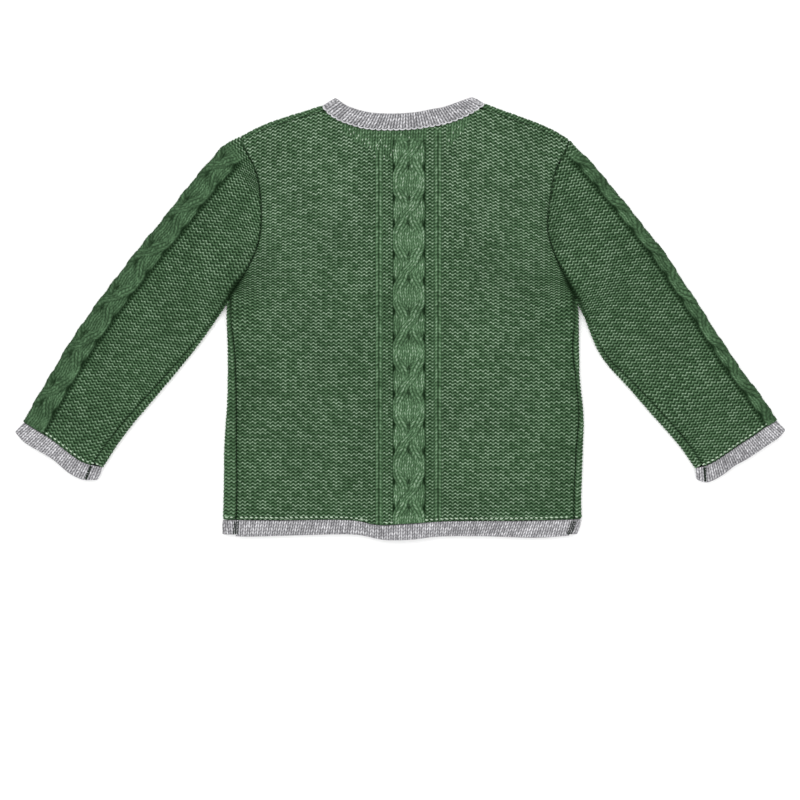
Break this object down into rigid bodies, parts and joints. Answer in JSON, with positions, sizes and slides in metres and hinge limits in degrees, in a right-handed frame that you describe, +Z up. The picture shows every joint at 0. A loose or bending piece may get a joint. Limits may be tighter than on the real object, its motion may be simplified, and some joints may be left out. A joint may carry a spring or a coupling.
{
  "type": "knitted child's cardigan laid flat",
  "caption": "Child's cable-knit trachten cardigan in green wool with grey trims, buttoned and laid flat with its back up",
  "frame": {"origin": "centre of the laid-out garment's box, on the surface it lies on", "axes": "+X to the wearer's right, across the sleeves; +Y to the neck; +Z up, out of the back"},
  "size_m": [0.6309, 0.363, 0.011],
  "materials": {
    "green_knit": "matte",
    "grey_trim": "matte",
    "horn": "satin"
  },
  "bodies": {
    "root": {"back": "green_knit", "front_left": "green_knit", "front_right": "green_knit", "sleeve_left": "green_knit", "sleeve_right": "green_knit", "cuff_left": "grey_trim", "cuff_right": "grey_trim", "hem_back": "grey_trim", "hem_front_left": "grey_trim", "hem_front_right": "grey_trim", "neckband": "grey_trim", "band_buttonhole": "grey_trim", "band_button": "grey_trim", "button_1": "horn", "button_2": "horn", "button_3": "horn", "button_4": "horn", "button_5": "horn"}
  },
  "joints": []
}
